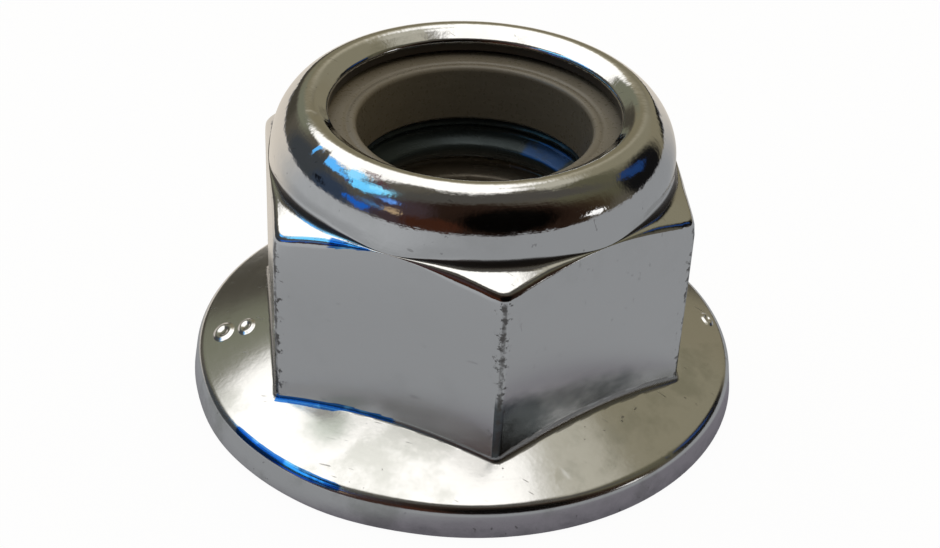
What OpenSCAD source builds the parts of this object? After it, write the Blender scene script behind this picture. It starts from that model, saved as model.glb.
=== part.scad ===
// Hexagon lock nut with a flange and a nylon ring, for an 8 mm bolt, in millimetres.
// The bearing face lies on z = 0, the thread's axis is the Z axis, and two of the
// hexagon's flats face along Y. The collar at the top is rolled in over the ring.
// The hole is drawn at the thread's minor diameter.

/* [Flange] */
// Largest diameter of the flange, near its lower edge
flange_d = 18.1; // [17.2:0.1:19]
// Height of the rim's upper edge, before it is rounded
rim_h = 1.06; // [1:0.02:1.4]
// Draft on the rim's side, which leans in towards the top, in degrees
rim_draft = 8; // [0:1:12]
// Slope of the flange's upper side, in degrees
flange_slope = 22; // [14:1:28]
// Radius on the rim's upper edge
rim_top_radius = 0.42; // [0.2:0.02:0.5]
// Radius on the rim's lower edge
rim_bottom_radius = 0.16; // [0.1:0.02:0.24]

/* [Hexagon] */
// Width across the flats
hex_af = 12.9; // [12.5:0.05:13.4]
// Radius on the six upright edges
hex_edge_radius = 0.3; // [0.1:0.05:0.6]
// Slope of the chamfer across the hexagon's corners, in degrees
chamfer_slope = 28; // [20:1:36]
// How far the chamfer's lower edge stays inside the corners, which are steeper below it
corner_relief = 0.1; // [0.04:0.01:0.2]
// Slope of the corners below the chamfer, in degrees
relief_slope = 75; // [65:1:80]
// Radius of the fillet between the chamfer and the collar
foot_radius = 0.5; // [0.2:0.02:0.6]

/* [Collar] */
// Height of the finished nut, to the top of the rolled lip
nut_h = 10.15; // [9.6:0.05:11.2]
// Height of the collar's upright wall, between the fillet at its foot and its shoulder
wall_h = 0.12; // [0.05:0.01:0.4]
// How far the collar's wall lies inside the flats
collar_inset = 0.09; // [0.05:0.01:0.2]
// Thickness of the collar's wall
collar_wall = 0.86; // [0.7:0.02:1]
// Radius of the long curve from the collar's wall to the lip
shoulder_radius = 1.85; // [1.6:0.05:2.4]
// How far the lip's crest lies inside the collar's wall
crest_inset = 1.12; // [0.9:0.02:1.3]
// Radius of the tight curve over the lip's crest
crest_radius = 0.6; // [0.4:0.05:0.75]
// Slope of the lip from its crest down to the opening, in degrees
lip_slope = 35; // [20:1:42]
// How far the lip reaches in over the ring's seat
lip_reach = 0.92; // [0.8:0.02:1]
// Depth of the lip's underside below its crest
lip_depth = 0.69; // [0.6:0.01:0.8]
// Radius on the edge of the lip's opening
lip_edge_radius = 0.18; // [0.08:0.01:0.24]

/* [Hole] */
// Minor diameter of the thread
thread_minor_d = 6.8; // [6.6:0.05:6.95]
// Major diameter of the thread
thread_major_d = 8; // [7.8:0.05:8.2]
// Diameter of the countersink at the bearing face
countersink_d = 8.6; // [8:0.05:8.75]
// Slope of the countersink and of the lead at the thread's other end, in degrees
lead_slope = 45; // [30:1:60]

/* [Nylon ring] */
// Height of the ring
ring_h = 1.96; // [1.7:0.02:2.2]
// Diameter of the ring's hole
ring_bore_d = 7.4; // [7:0.05:7.7]
// Radius on the upper edge of the ring's hole
ring_mouth_radius = 0.15; // [0.05:0.01:0.3]
// Radius of the seat's upper corner
seat_radius = 0.7; // [0.4:0.05:0.8]
// Chamfer on the ring's lower edges
ring_chamfer = 0.1; // [0.05:0.05:0.3]
// Clearance between the ring and the wall of its seat
ring_clearance = 0.02; // [0.01:0.01:0.04]
// Gap between the ring's top and the underside of the lip
lip_gap = 0.19; // [0.05:0.01:0.3]

/* [Hidden] */
$fn = 96;

steel = [0.74, 0.75, 0.77];
nylon = [0.56, 0.54, 0.50];
// The longest turn, in degrees, that one straight piece of a drawn arc takes
arc_step = 9;
// How far a cutting shape runs past the face that it opens
overrun = 1;

// The flange, with the centres of its rim's two roundings as [radius, height]. The side
// leaves the lower rounding at its draft and meets the cone in the rim's edge.
flange_r = flange_d / 2;
rim_bottom_centre = [flange_r - rim_bottom_radius, rim_bottom_radius];
side_start = along(rim_bottom_centre, rim_bottom_radius, rim_draft);
rim_edge = [side_start[0] - (rim_h - side_start[1]) * tan(rim_draft), rim_h];
rim_top_centre = rounding_centre(rim_edge, rim_top_radius, rim_draft, 90 - flange_slope);

// The hexagon, whose flats lie apothem from the axis
apothem = hex_af / 2;
hex_edge_centre_r = (apothem - hex_edge_radius) / cos(30);

// The collar's outside: foot, wall, shoulder and crest, each curve tangent to the next
collar_r = apothem - collar_inset;
crest_centre = [collar_r - crest_inset, nut_h - crest_radius];
curve_gap = shoulder_radius - crest_radius;
shoulder_turn = acos((shoulder_radius - crest_inset) / curve_gap);
shoulder_centre = [collar_r - shoulder_radius, crest_centre[1] - curve_gap * sin(shoulder_turn)];
foot_centre = [collar_r + foot_radius, shoulder_centre[1] - wall_h];

// The chamfer, from the foot's fillet down to its edge on the corners
foot_end = along(foot_centre, foot_radius, 270 - chamfer_slope);
chamfer_edge_r = hex_edge_centre_r + hex_edge_radius - corner_relief;
chamfer_edge_h = foot_end[1] - (chamfer_edge_r - foot_end[0]) * tan(chamfer_slope);

// The ring's seat, and the opening that the lip leaves over it
seat_r = collar_r - collar_wall;
seat_top = nut_h - lip_depth;
seat_centre = [seat_r - seat_radius, seat_top - seat_radius];
ring_top = seat_top - lip_gap;
seat_floor = ring_top - ring_h;
lip_r = seat_r - lip_reach;
lip_start = along(crest_centre, crest_radius, 90 + lip_slope);
lip_edge_x = lip_r + lip_edge_radius;
lip_edge_centre = [
    lip_edge_x,
    lip_start[1] - (lip_start[0] - lip_edge_x) * tan(lip_slope) - lip_edge_radius / cos(lip_slope)
];

// The threaded hole, and the ring's own hole
minor_r = thread_minor_d / 2;
major_r = thread_major_d / 2;
countersink_r = countersink_d / 2;
ring_bore_r = ring_bore_d / 2;

// The point at a distance and an angle from a centre
function along(centre, distance, angle) = centre + distance * [cos(angle), sin(angle)];

// The centre of the rounding on a corner between two faces, whose outward directions are
// the angles from and to
function rounding_centre(corner, radius, from, to) =
    corner - radius / (1 + cos(to - from)) * [cos(from) + cos(to), sin(from) + sin(to)];

// The points of an arc about a centre, from one angle to another
function arc(centre, radius, from, to) =
    let (pieces = ceil(abs(to - from) / arc_step))
    [for (i = [0 : pieces]) along(centre, radius, from + (to - from) * i / pieces)];

// The flange's half section: bearing face, rounded rim and cone
module flange_section() {
    cone_top_r = apothem - collar_wall;
    cone_top_h = rim_h + (rim_edge[0] - cone_top_r) * tan(flange_slope);
    polygon(concat(
        [[0, 0]],
        arc(rim_bottom_centre, rim_bottom_radius, -90, rim_draft),
        arc(rim_top_centre, rim_top_radius, rim_draft, 90 - flange_slope),
        [[cone_top_r, cone_top_h], [0, cone_top_h]]
    ));
}

// The hexagon's plan, with its corners rounded
module hexagon_plan() {
    polygon([
        for (turn = [0 : 60 : 300])
            each arc(along([0, 0], hex_edge_centre_r, turn), hex_edge_radius, turn - 30, turn + 30)
    ]);
}

// The outside that is turned round the axis: the relief and the chamfer across the
// hexagon's corners, the collar's foot and wall, its rolled shoulder and crest, and the
// edge of the lip
module turned_section() {
    past_corner_r = chamfer_edge_r + overrun;
    polygon(concat(
        [
            [0, 0],
            [past_corner_r, 0],
            [past_corner_r, chamfer_edge_h - overrun * tan(relief_slope)],
            [chamfer_edge_r, chamfer_edge_h]
        ],
        arc(foot_centre, foot_radius, 270 - chamfer_slope, 180),
        arc(shoulder_centre, shoulder_radius, 0, shoulder_turn),
        arc(crest_centre, crest_radius, shoulder_turn, 90 + lip_slope),
        arc(lip_edge_centre, lip_edge_radius, 90 + lip_slope, 180),
        [[lip_r, seat_centre[1]], [0, seat_centre[1]]]
    ));
}

// The space inside the body: the countersunk hole for the bolt, and the ring's seat
module hole_section() {
    countersink_depth = (countersink_r - minor_r) * tan(lead_slope);
    lead_depth = (major_r - minor_r) * tan(lead_slope);
    polygon(concat(
        [
            [0, -overrun],
            [countersink_r, -overrun],
            [countersink_r, 0],
            [minor_r, countersink_depth],
            [minor_r, seat_floor - lead_depth],
            [major_r, seat_floor],
            [seat_r, seat_floor]
        ],
        arc(seat_centre, seat_radius, 0, 90),
        [[0, seat_top]]
    ));
}

// The ring's half section, which stands on the seat's floor and clears its wall and the lip
module ring_section() {
    ring_r = seat_r - ring_clearance;
    corner_radius = seat_radius - ring_clearance;
    mouth_centre = [ring_bore_r + ring_mouth_radius, ring_top - ring_mouth_radius];
    polygon(concat(
        [
            [ring_bore_r, seat_floor + ring_chamfer],
            [ring_bore_r + ring_chamfer, seat_floor],
            [ring_r - ring_chamfer, seat_floor],
            [ring_r, seat_floor + ring_chamfer]
        ],
        arc([ring_r - corner_radius, ring_top - corner_radius], corner_radius, 0, 90),
        arc(mouth_centre, ring_mouth_radius, 90, 180)
    ));
}

// The steel body: flange, hexagon and collar formed from one blank
module nut_body() {
    color(steel)
        difference() {
            union() {
                rotate_extrude()
                    flange_section();
                intersection() {
                    linear_extrude(height = nut_h)
                        hexagon_plan();
                    rotate_extrude()
                        turned_section();
                }
            }
            rotate_extrude()
                hole_section();
        }
}

// The nylon ring that grips the bolt, held in its seat by the rolled lip
module nylon_insert() {
    color(nylon)
        rotate_extrude()
            ring_section();
}

nut_body();
nylon_insert();
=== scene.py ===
"""Dresses a hexagon lock nut with a flange and a nylon ring, and lights it for its picture.

The steel body is one closed surface. Its half section runs from the bearing face over the
rim, the cone, the hexagon, the chamfer and the rolled collar into the ring's seat, and back
down the thread. It is carried round the thread's axis, and at each turn it moves in and out
with the hexagon. Every length is in metres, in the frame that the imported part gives.
"""

import logging
import math
from dataclasses import dataclass, field
from enum import Enum

import bmesh
import bpy
import numpy as np
from mathutils import Matrix, Vector


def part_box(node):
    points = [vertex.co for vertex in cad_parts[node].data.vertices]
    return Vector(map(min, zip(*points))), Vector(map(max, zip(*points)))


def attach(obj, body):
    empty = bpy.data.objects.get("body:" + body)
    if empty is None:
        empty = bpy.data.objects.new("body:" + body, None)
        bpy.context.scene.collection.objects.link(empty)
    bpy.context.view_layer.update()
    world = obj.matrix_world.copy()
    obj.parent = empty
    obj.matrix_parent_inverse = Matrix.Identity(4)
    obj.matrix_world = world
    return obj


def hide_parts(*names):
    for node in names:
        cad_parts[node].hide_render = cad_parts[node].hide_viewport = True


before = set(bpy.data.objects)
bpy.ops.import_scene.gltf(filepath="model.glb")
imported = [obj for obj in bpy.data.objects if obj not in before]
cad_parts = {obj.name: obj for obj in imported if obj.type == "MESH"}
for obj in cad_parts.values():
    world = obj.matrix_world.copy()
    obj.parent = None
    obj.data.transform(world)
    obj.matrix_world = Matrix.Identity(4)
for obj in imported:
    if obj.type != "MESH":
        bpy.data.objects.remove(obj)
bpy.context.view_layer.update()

LOG = logging.getLogger("lock_nut")
MM = 0.001
MERGE_DISTANCE = 0.0002 * MM
FULL_TURN = 2.0 * math.pi

Array = np.ndarray
Block = tuple[Array, Array]
Socket = bpy.types.NodeSocket


class Zone(Enum):
    """The parts of the steel surface that were made in different ways."""

    BEARING = 0.0
    FLANGE = 0.2
    BASE = 0.3
    FLAT = 0.4
    CHAMFER = 0.6
    CREASE = 0.7
    LIP = 0.72
    COLLAR = 0.8
    THREAD = 1.0


def radians(degrees: Array | float) -> Array | float:
    """Turns degrees into radians."""
    return np.radians(degrees)


def straight(start: tuple, end: tuple, rows: int, ease: float = 0.0) -> Block:
    """Gives the points of a straight stretch of the half section.

    A point is start + (end - start) * t. With ease above 0, the first and the last steps
    are that share of the stretch, so that the shading turns only at its ends.

    Args:
        start: The radius and the height where the stretch starts.
        end: The radius and the height where it ends.
        rows: The number of rows, both ends counted.
        ease: The share of the stretch that each end step takes.

    Returns:
        The radii and the heights, with one row for each step.
    """
    share = np.linspace(0.0, 1.0, rows)
    if ease > 0.0 and rows > 3:
        share[1:-1] = np.linspace(ease, 1.0 - ease, rows - 2)
    share = share[:, None]
    radius = start[0] + (end[0] - start[0]) * share
    height = start[1] + (end[1] - start[1]) * share
    return radius, height


def arc(centre: tuple, radius: float, start: float, end: float, rows: int) -> Block:
    """Gives the points of a round stretch of the half section.

    A point is the centre + radius * (cos a, sin a), with the angle a in even steps.

    Args:
        centre: The radius and the height of the arc's centre.
        radius: The arc's own radius.
        start: The angle where the arc starts, in degrees from the outward direction.
        end: The angle where it ends.
        rows: The number of rows, both ends counted.

    Returns:
        The radii and the heights, with one row for each step.
    """
    angle = radians(np.linspace(start, end, rows))[:, None]
    return centre[0] + radius * np.cos(angle), centre[1] + radius * np.sin(angle)


def rounded_corner(before: Array, corner: Array, after: Array, radius: Array, rows: int) -> Block:
    """Rounds one corner of the half section in every column at once.

    The arc touches both sides of the corner. Its centre lies on the corner's bisector, at
    radius / sin(half the angle), and its spokes turn evenly from one side to the other.

    Args:
        before: A point on the side that comes first, for each column.
        corner: The sharp corner, for each column.
        after: A point on the other side, for each column.
        radius: The radius of the rounding, for each column.
        rows: The number of rows, both ends counted.

    Returns:
        The radii and the heights, with one row for each step.
    """
    first = before - corner
    first /= np.linalg.norm(first, axis=0)
    second = after - corner
    second /= np.linalg.norm(second, axis=0)
    half = 0.5 * np.arccos(np.clip((first * second).sum(axis=0), -1.0, 1.0))
    bisector = first + second
    bisector /= np.linalg.norm(bisector, axis=0)
    centre = corner + bisector * radius / np.sin(half)
    touch = radius / np.tan(half)
    spoke_one = corner + first * touch - centre
    spoke_two = corner + second * touch - centre
    sweep = math.pi - 2.0 * half
    share = np.linspace(0.0, 1.0, rows)[:, None]
    near = np.sin((1.0 - share) * sweep) / np.sin(sweep)
    far = np.sin(share * sweep) / np.sin(sweep)
    return (
        centre[0] + spoke_one[0] * near + spoke_two[0] * far,
        centre[1] + spoke_one[1] * near + spoke_two[1] * far,
    )


def smooth_step(value: Array) -> Array:
    """Turns 0..1 into an even S curve, 3t^2 - 2t^3, and holds it outside."""
    t = np.clip(value, 0.0, 1.0)
    return t * t * (3.0 - 2.0 * t)


def wrapped(degrees: Array) -> Array:
    """Brings angles to between -180 and 180 degrees."""
    return np.mod(degrees + 180.0, 360.0) - 180.0


@dataclass(frozen=True)
class Stretch:
    """A stretch of azimuths round the axis, in degrees, with soft ends."""

    middle: float
    half: float
    soft: float

    def share(self, turn: Array) -> Array:
        """Gives 1 on the stretch at the angles of turn, in radians, and fades to 0 beside it."""
        aside = np.abs(wrapped(np.degrees(turn) - self.middle))
        return smooth_step((self.half + self.soft - aside) / self.soft)


def grid_quads(rows: int, columns: int, first: int = 0, closed: bool = True) -> Array:
    """Numbers the faces of a grid of points.

    Args:
        rows: The number of rows of points.
        columns: The number of points in a row.
        first: The number of the grid's first point.
        closed: Whether the last column meets the first.

    Returns:
        Four point numbers for each face.
    """
    row = np.arange(rows - 1)[:, None] * columns
    column = np.arange(columns if closed else columns - 1)[None, :]
    following = (column + 1) % columns
    quads = np.stack(
        [row + column, row + following, row + columns + following, row + columns + column], axis=-1
    )
    return quads.reshape(-1, 4) + first


def turned_points(radius: Array, height: Array, turn: Array) -> Array:
    """Carries a half section round the axis: x = r cos a, y = r sin a, z = height."""
    around = np.broadcast_to(turn, radius.shape)
    return np.stack([radius * np.cos(around), radius * np.sin(around), height], axis=-1).reshape(-1, 3)


def closed_mesh(name: str, points: Array, quads: Array, values: dict[str, Array]) -> bpy.types.Object:
    """Makes an object of a closed surface whose seams are merged.

    Args:
        name: The piece's name.
        points: The places of its points.
        quads: Four point numbers for each face.
        values: What else is known at each point, by attribute name.

    Returns:
        The object, with smooth faces that point outwards.
    """
    mesh = bpy.data.meshes.new(name)
    mesh.vertices.add(len(points))
    mesh.vertices.foreach_set("co", points.astype(np.float32).ravel())
    mesh.loops.add(quads.size)
    mesh.loops.foreach_set("vertex_index", quads.astype(np.int32).ravel())
    mesh.polygons.add(len(quads))
    mesh.polygons.foreach_set("loop_start", np.arange(0, quads.size, 4, dtype=np.int32))
    mesh.update(calc_edges=True)
    for label, value in values.items():
        attribute = mesh.attributes.new(label, "FLOAT", "POINT")
        attribute.data.foreach_set("value", value.astype(np.float32).ravel())
    shell = bmesh.new()
    shell.from_mesh(mesh)
    bmesh.ops.remove_doubles(shell, verts=shell.verts, dist=MERGE_DISTANCE)
    bmesh.ops.dissolve_degenerate(shell, edges=shell.edges, dist=MERGE_DISTANCE)
    bmesh.ops.recalc_face_normals(shell, faces=shell.faces)
    shell.to_mesh(mesh)
    shell.free()
    mesh.polygons.foreach_set("use_smooth", np.ones(len(mesh.polygons), dtype=bool))
    mesh.update()
    made = bpy.data.objects.new(name, mesh)
    bpy.context.scene.collection.objects.link(made)
    return made


@dataclass
class Thread:
    """The right-hand thread, cut through the body from its bearing face.

    Sizes are the real thread's: an M8 coarse thread with flanks at 30 degrees.
    """

    major_radius: float = 4.0 * MM
    minor_radius: float = 3.4 * MM
    pitch: float = 1.25 * MM
    flank_angle: float = 30.0
    root_share: float = 0.125
    rows_per_pitch: int = 26
    rounding: float = 0.05 * MM

    def depth_at(self, phase: Array) -> Array:
        """Gives how far the thread's surface lies outside the minor radius.

        One turn is a trapezium: flat on the crest, a flank out, a narrow flat at the root
        and a flank back. The corners are eased with a soft maximum and minimum.

        Args:
            phase: The place within one pitch, from 0 to 1, with the root at a half.

        Returns:
            The depth, in metres.
        """
        depth = self.major_radius - self.minor_radius
        from_root = np.abs(phase - 0.5) * self.pitch
        run = from_root - 0.5 * self.root_share * self.pitch
        flank = depth - run / math.tan(math.radians(self.flank_angle))
        soft = self.rounding
        low = 0.5 * (flank + np.sqrt(flank**2 + soft**2))
        return depth - 0.5 * ((depth - low) + np.sqrt((depth - low) ** 2 + soft**2)) + 0.5 * soft


@dataclass
class NutBody:
    """The steel body: flange, hexagon, collar and thread, formed from one blank."""

    low: Vector
    high: Vector
    rim_height: float = 1.06 * MM
    rim_draft: float = 8.0
    flange_slope: float = 22.0
    rim_top_radius: float = 0.42 * MM
    rim_bottom_radius: float = 0.16 * MM
    across_flats: float = 12.9 * MM
    edge_radius: float = 0.3 * MM
    base_fillet: float = 0.17 * MM
    wide_fillet: float = 0.3 * MM
    wide_side: Stretch = Stretch(-30.0, 26.0, 6.0)
    chamfer_slope: float = 28.0
    chamfer_edge_radius: float = 0.39 * MM
    corner_relief: float = 0.1 * MM
    relief_depth: float = 0.42 * MM
    foot_radius: float = 0.5 * MM
    wall_height: float = 0.12 * MM
    collar_inset: float = 0.09 * MM
    least_inset: float = 0.02 * MM
    collar_wall: float = 0.86 * MM
    shoulder_radius: float = 1.85 * MM
    crest_inset: float = 1.12 * MM
    crest_radius: float = 0.6 * MM
    lip_slope: float = 35.0
    lip_reach: float = 0.92 * MM
    lip_depth: float = 0.69 * MM
    lip_edge_radius: float = 0.18 * MM
    lip_gap: float = 0.19 * MM
    ring_height: float = 1.96 * MM
    seat_radius: float = 0.7 * MM
    countersink_radius: float = 4.3 * MM
    edge_wear: float = 0.3 * MM
    # The painted shade low on one flat and on the rim's side, which mirror the nut's shadow on the table; it
    # is paler on one stretch of the rim.
    shaded_side: float = -30.0
    shade_height: float = 4.3 * MM
    shade_fall: float = 0.17
    shade_reach: float = 3.0 * MM
    far_shade: float = 0.64
    rim_shade: float = 0.46
    pale_rim: Stretch = Stretch(-125.0, 20.0, 30.0)
    pale_share: float = 0.26
    # A dark reflection painted on the flange's cone, as a cloudy patch.
    dark_reflection_middle: tuple = (-1.6 * MM, -7.05 * MM)
    dark_reflection_size: float = 0.6 * MM
    # Blue painted where the plating mirrors blue light: on the rim's edge, the foot of one flat, the chamfer
    # and the thread's upper turn.
    rim_blue_reflection: Stretch = Stretch(-106.0, 11.0, 6.0)
    rim_blue_reflection_reach: float = 0.16 * MM
    foot_blue_reflection_reach: float = 0.1 * MM
    foot_blue_reflection_extra: float = 0.12 * MM
    chamfer_blue_reflection: Stretch = Stretch(-101.0, 4.0, 6.0)
    chamfer_blue_reflection_share: float = 0.62
    thread_blue_reflection: Stretch = Stretch(70.0, 11.0, 9.0)
    thread_blue_reflection_share: float = 0.56
    thread_blue_reflection_heights: tuple = (6.3 * MM, 6.95 * MM)
    swollen_rim: Stretch = Stretch(-110.0, 12.0, 22.0)
    rim_swell: float = 0.1 * MM
    swell_start: float = 7.0 * MM
    swell_run: float = 1.5 * MM
    side_half_angle: float = 31.0
    thread: Thread = field(default_factory=Thread)
    corner_steps: int = 5
    flat_steps: int = 14
    support: float = 0.25

    def __post_init__(self) -> None:
        """Works out the sizes that follow from the driving ones."""
        self.flange_radius = 0.5 * (self.high.x - self.low.x)
        self.top = self.high.z
        self.apothem = 0.5 * self.across_flats
        self.edge_centre = (self.apothem - self.edge_radius) / math.cos(math.radians(30.0))
        self.collar_radius = self.apothem - self.collar_inset
        self.place_rim()
        self.place_collar()
        self.seat_wall = self.collar_radius - self.collar_wall
        self.seat_top = self.top - self.lip_depth
        self.seat_floor = self.seat_top - self.lip_gap - self.ring_height
        self.turn = self.column_angles()
        self.from_corner = np.mod(self.turn + radians(30.0), radians(60.0)) - radians(30.0)
        self.hexagon = self.hexagon_radius(self.from_corner)

    def place_rim(self) -> None:
        """Places the rim's two roundings, with the drafted side between them.

        The lower one touches the bearing face. The upper one touches the side and the
        cone, so its centre lies on their bisector, r / (1 + cos of the turn) times the sum
        of the two outward directions inside the corner.
        """
        draft, slope = math.radians(self.rim_draft), math.radians(self.flange_slope)
        low, high = self.rim_bottom_radius, self.rim_top_radius
        self.rim_bottom = (self.flange_radius - low, low)
        self.rim_start = (self.rim_bottom[0] + low * math.cos(draft), low + low * math.sin(draft))
        self.rim_edge = self.rim_start[0] - (self.rim_height - self.rim_start[1]) * math.tan(draft)
        pull = high / (1.0 + math.cos(math.pi / 2.0 - slope - draft))
        self.rim_top = (
            self.rim_edge - pull * (math.cos(draft) + math.sin(slope)),
            self.rim_height - pull * (math.sin(draft) + math.cos(slope)),
        )

    def place_collar(self) -> None:
        """Places the crest, the shoulder that runs into it, and the cone of the chamfer."""
        self.crest = (self.collar_radius - self.crest_inset, self.top - self.crest_radius)
        gap = self.shoulder_radius - self.crest_radius
        self.shoulder_turn = math.degrees(math.acos((self.shoulder_radius - self.crest_inset) / gap))
        rise = gap * math.sin(math.radians(self.shoulder_turn))
        self.shoulder = (self.collar_radius - self.shoulder_radius, self.crest[1] - rise)
        slope = math.radians(self.chamfer_slope)
        hollow = self.foot_radius * (1.0 / math.cos(slope) - math.tan(slope))
        self.hexagon_top = self.shoulder[1] - self.wall_height - hollow

    def column_angles(self) -> Array:
        """Gives the angles of the columns: close together at the corners, even elsewhere.

        Within a corner's rounding the steps are even on its own small arc, so the angle is
        atan(e sin a / (c + e cos a)), with e the edge's radius and c its centre's distance.

        Returns:
            The angles of one full turn, in radians.
        """
        own = radians(np.linspace(0.0, 30.0, self.corner_steps + 1))
        rounding = np.degrees(
            np.arctan2(self.edge_radius * np.sin(own), self.edge_centre + self.edge_radius * np.cos(own))
        )
        rest = np.linspace(rounding[-1] + self.support, 30.0, self.flat_steps + 1)
        half = np.concatenate([rounding, rest])
        sector = np.concatenate([-half[:0:-1], half[:-1]])
        angles = (sector[None, :] + 60.0 * np.arange(6)[:, None]).ravel()
        return radians(angles)

    def hexagon_radius(self, from_corner: Array) -> Array:
        """Gives the hexagon's reach at each angle from its nearest corner.

        On a flat it is the apothem over the cosine of the angle from the flat's middle. In
        a corner it is c cos a + sqrt(e^2 - c^2 sin^2 a), the far side of the rounding.

        Args:
            from_corner: The angle from the nearest corner, in radians.

        Returns:
            The radius, in metres.
        """
        flat = self.apothem / np.cos(radians(30.0) - np.abs(from_corner))
        end = self.edge_radius * 0.5 / (self.edge_centre + self.edge_radius * math.cos(math.radians(30.0)))
        inside = np.abs(from_corner) <= math.atan(end) + 1e-9
        reach = self.edge_radius**2 - (self.edge_centre * np.sin(from_corner)) ** 2
        rounding = self.edge_centre * np.cos(from_corner) + np.sqrt(np.maximum(reach, 0.0))
        return np.where(inside, rounding, flat)

    def cone_height(self, radius: Array | float) -> Array | float:
        """Gives the height of the flange's upper side: rim + (edge - r) * tan(slope)."""
        return self.rim_height + (self.rim_edge - radius) * math.tan(math.radians(self.flange_slope))

    def rim_blocks(self) -> list[tuple[Block, Zone]]:
        """Gives the bearing face and the rim, up to the start of the cone.

        Returns:
            The blocks, each with its zone.
        """
        draft = math.radians(self.rim_draft)
        reach = self.rim_top_radius
        side_end = (self.rim_top[0] + reach * math.cos(draft), self.rim_top[1] + reach * math.sin(draft))
        return [
            (straight((self.countersink_radius, 0.0), (self.rim_bottom[0], 0.0), 10, 0.02), Zone.BEARING),
            (arc(self.rim_bottom, self.rim_bottom_radius, -90.0, self.rim_draft, 9), Zone.FLANGE),
            (straight(self.rim_start, side_end, 6, 0.06), Zone.FLANGE),
            (arc(self.rim_top, reach, self.rim_draft, 90.0 - self.flange_slope, 11), Zone.FLANGE),
        ]

    def fillet_radius(self) -> Array:
        """Gives the fillet at the foot of the flats, which is wider on one of them."""
        wider = self.wide_fillet - self.base_fillet
        return self.base_fillet + wider * self.wide_side.share(self.turn)

    def leaning_flat(self, start: Array, end: Array, knee: Array, lean: Array, rows: int) -> Block:
        """Gives the flats, which lean in just below the chamfer near the corners.

        Above the knee the radius shrinks by lean * ramp(z - knee). The ramp is
        (u + sqrt(u^2 + s^2)) / 2, which turns softly over about s.

        Args:
            start: The radius and the height where the flat starts, for each column.
            end: Where it ends.
            knee: The height where it starts to lean, for each column.
            lean: How far it leans in for each metre of height.
            rows: The number of rows, both ends counted.

        Returns:
            The radii and the heights, with one row for each step.
        """
        share = np.linspace(0.0, 1.0, rows)
        share[1:-1] = np.linspace(0.006, 0.994, rows - 2)
        height = start[1] + (end[1] - start[1]) * share[:, None]
        above = height - knee
        soft = 0.2 * self.relief_depth
        radius = start[0] - lean * 0.5 * (above + np.sqrt(above**2 + soft**2))
        radius[0], radius[-1] = start[0], end[0]
        return radius, height

    def hexagon_blocks(self) -> list[tuple[Block, Zone]]:
        """Gives the cone, the flats, the chamfer and the foot of the collar.

        The collar swells by a few hundredths of a millimetre towards each flat's middle,
        where it was turned down from the flat and runs into it.

        Returns:
            The blocks, each with its zone.
        """
        reach = self.hexagon
        slope = math.tan(math.radians(self.chamfer_slope))
        swell = self.collar_inset - self.least_inset
        swell = swell * smooth_step((np.abs(self.from_corner) - radians(16.0)) / radians(14.0))
        wall = self.collar_radius + swell
        base = np.stack([reach, self.cone_height(reach)])
        outward = np.stack([reach + MM, self.cone_height(reach + MM)])
        edge_reach = np.minimum(reach, self.hexagon_radius(np.zeros(1)) - self.corner_relief)
        edge = np.stack([edge_reach, self.hexagon_top - (edge_reach - self.collar_radius) * slope])
        knee = np.stack([reach, edge[1] - self.relief_depth])
        foot = np.stack([wall, self.hexagon_top - (wall - self.collar_radius) * slope])
        above = np.stack([wall, foot[1] + MM])
        length = np.linalg.norm(edge - foot, axis=0)
        touch = math.tan(0.5 * math.radians(90.0 - self.chamfer_slope))
        edge_radius = np.minimum(self.chamfer_edge_radius, 0.48 * length / touch)
        foot_radius = np.minimum(self.foot_radius, 0.48 * length / touch)
        fillet = rounded_corner(outward, base, edge, self.fillet_radius(), 8)
        crown = rounded_corner(knee, edge, foot, edge_radius, 10)
        hollow = rounded_corner(edge, foot, above, foot_radius, 11)
        cone_start = self.rim_top[0] + self.rim_top_radius * math.sin(math.radians(self.flange_slope))
        cone_foot = (fillet[0][0], fillet[1][0])
        cone = straight((cone_start, self.cone_height(cone_start)), cone_foot, 18, 0.012)
        lean = (reach - edge_reach) / self.relief_depth
        bottom, top = np.stack([fillet[0][-1], fillet[1][-1]]), np.stack([crown[0][0], crown[1][0]])
        flat = self.leaning_flat(bottom, top, knee[1], lean, 24)
        chamfer = straight((crown[0][-1], crown[1][-1]), (hollow[0][0], hollow[1][0]), 8, 0.03)
        return [
            (cone, Zone.FLANGE),
            (fillet, Zone.BASE),
            (flat, Zone.FLAT),
            (crown, Zone.CHAMFER),
            (chamfer, Zone.CHAMFER),
            (hollow, Zone.CREASE),
        ]

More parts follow.
